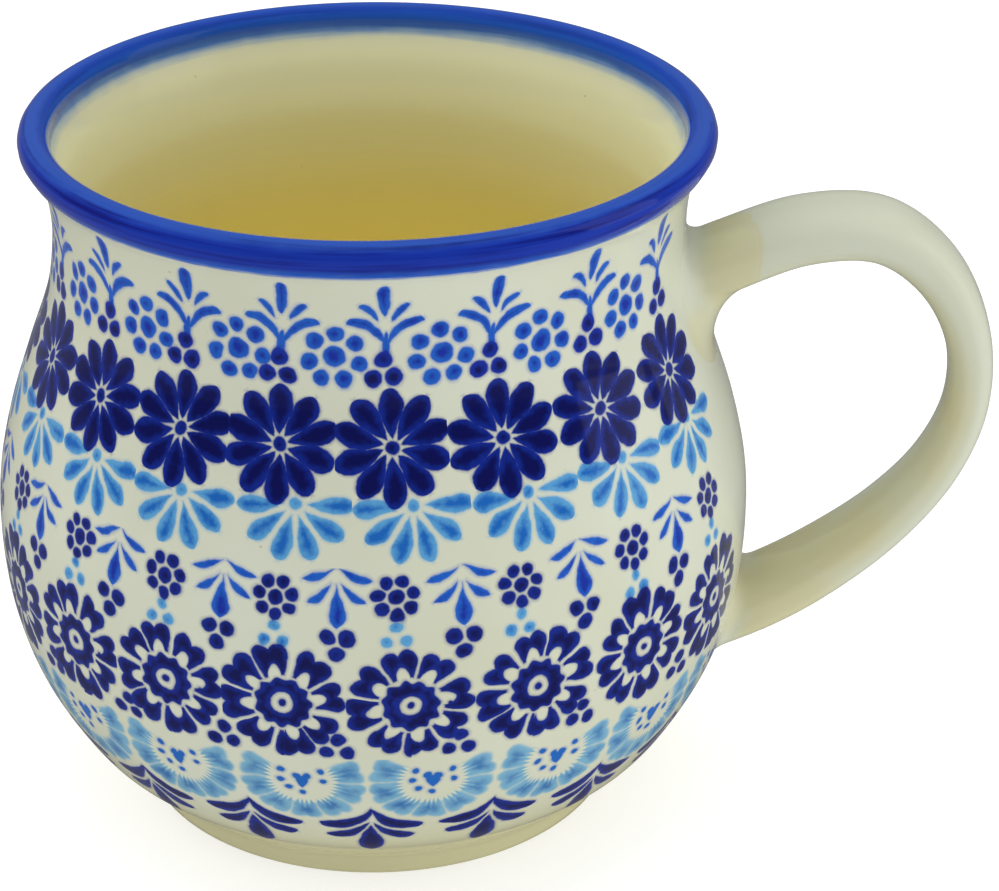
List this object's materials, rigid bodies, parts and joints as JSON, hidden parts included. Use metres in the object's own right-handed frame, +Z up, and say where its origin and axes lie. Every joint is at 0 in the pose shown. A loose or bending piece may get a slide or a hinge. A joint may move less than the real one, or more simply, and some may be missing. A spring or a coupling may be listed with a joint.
{
  "type": "mug",
  "caption": "Round-bellied stoneware mug with a flared lip, a foot ring and a strap handle, painted with flowers under a clear glaze.",
  "frame": {"origin": "middle of the whole mug's footprint, on the surface that it stands on", "axes": "+X towards the handle, which is the longest way across; +Z up along the vessel's axis; +Y completes the frame, across the handle"},
  "size_m": [0.1405, 0.107, 0.1012],
  "materials": {
    "painted_glaze": "clear glossy glaze over cream stoneware, with underglaze flowers in four blues and a cobalt lip",
    "handle_glaze": "clear glossy glaze over plain cream stoneware",
    "slip_glaze": "glaze pooled a little yellower over smoothed slip"
  },
  "bodies": {
    "root": {"body": "painted_glaze", "handle": "handle_glaze", "upper_collar": "slip_glaze", "lower_collar": "slip_glaze"}
  },
  "joints": []
}
